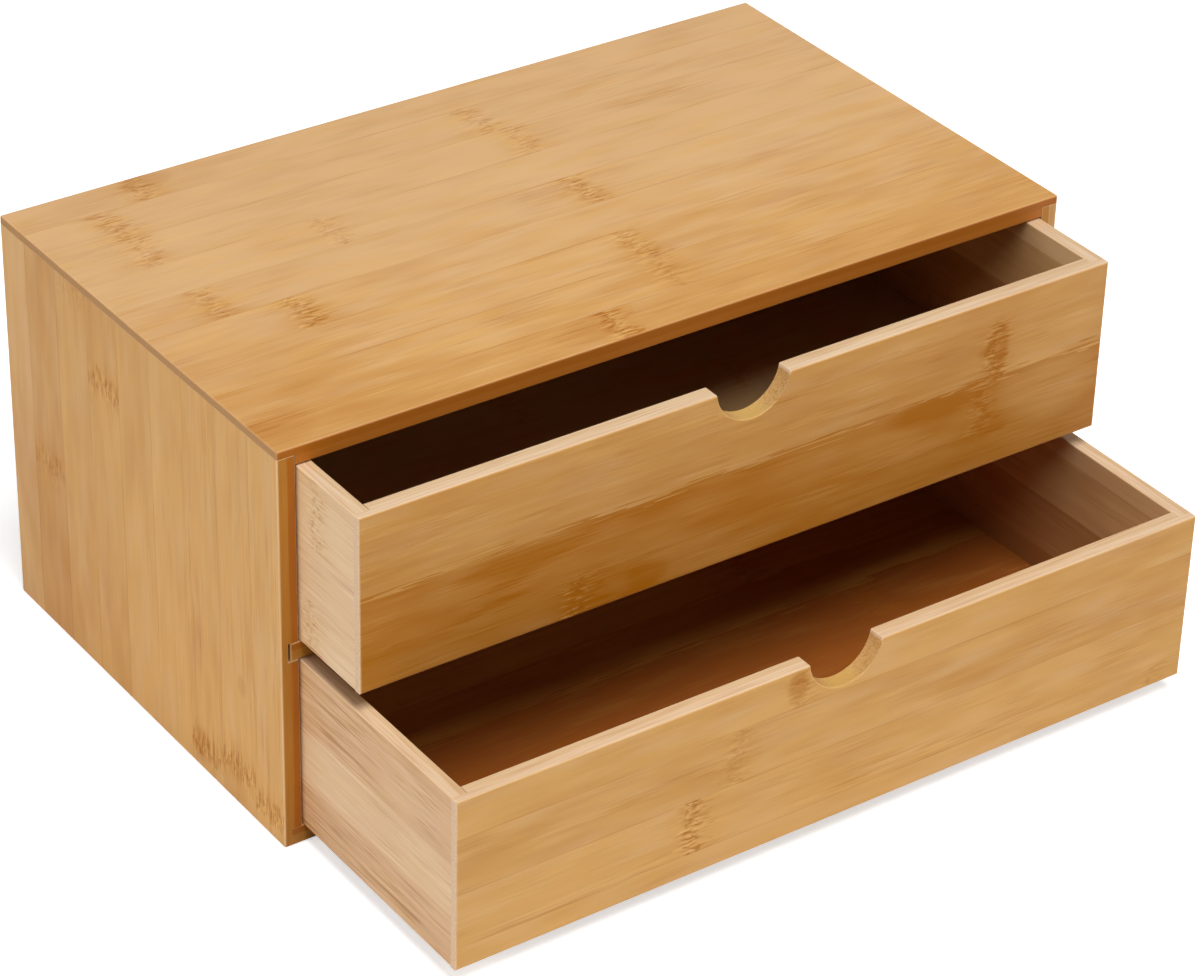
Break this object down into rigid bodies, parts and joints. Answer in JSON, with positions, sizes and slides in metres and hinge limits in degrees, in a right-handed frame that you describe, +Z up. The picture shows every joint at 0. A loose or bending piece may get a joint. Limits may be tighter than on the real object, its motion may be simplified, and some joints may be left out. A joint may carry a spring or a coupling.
{
  "type": "desk drawer organizer",
  "caption": "Low bamboo desktop cabinet with wide drawers one above the other, each with a curved finger notch in the top edge of its front.",
  "frame": {"origin": "middle of the carcass's underside", "axes": "+X to the right along the front, -Y out of the front, the way the drawers open, +Z up"},
  "size_m": [0.33, 0.287, 0.16],
  "materials": {
    "bamboo_carcass": "satin lacquered honey bamboo, laminated in strips",
    "bamboo_front": "satin lacquered honey bamboo, laminated in wide strips",
    "bamboo_pale": "satin lacquered pale bamboo with fine streaks",
    "bamboo_tray": "satin lacquered thin bamboo board"
  },
  "bodies": {
    "carcass": {"top_panel": "bamboo_carcass", "bottom_panel": "bamboo_carcass", "left_side_panel": "bamboo_carcass", "right_side_panel": "bamboo_carcass", "middle_shelf": "bamboo_carcass", "back_panel": "bamboo_carcass"},
    "upper_drawer": {"upper_drawer_front": "bamboo_front", "upper_drawer_left_side": "bamboo_pale", "upper_drawer_right_side": "bamboo_pale", "upper_drawer_back": "bamboo_pale", "upper_drawer_bottom": "bamboo_tray"},
    "lower_drawer": {"lower_drawer_front": "bamboo_front", "lower_drawer_left_side": "bamboo_pale", "lower_drawer_right_side": "bamboo_pale", "lower_drawer_back": "bamboo_pale", "lower_drawer_bottom": "bamboo_tray"}
  },
  "joints": [
    {"name": "upper_drawer_slide", "type": "slide", "parent": "carcass", "child": "upper_drawer", "axis": [0, -1, 0], "range_m": [-0.038, 0.122]},
    {"name": "lower_drawer_slide", "type": "slide", "parent": "carcass", "child": "lower_drawer", "axis": [0, -1, 0], "range_m": [-0.096, 0.064]}
  ]
}
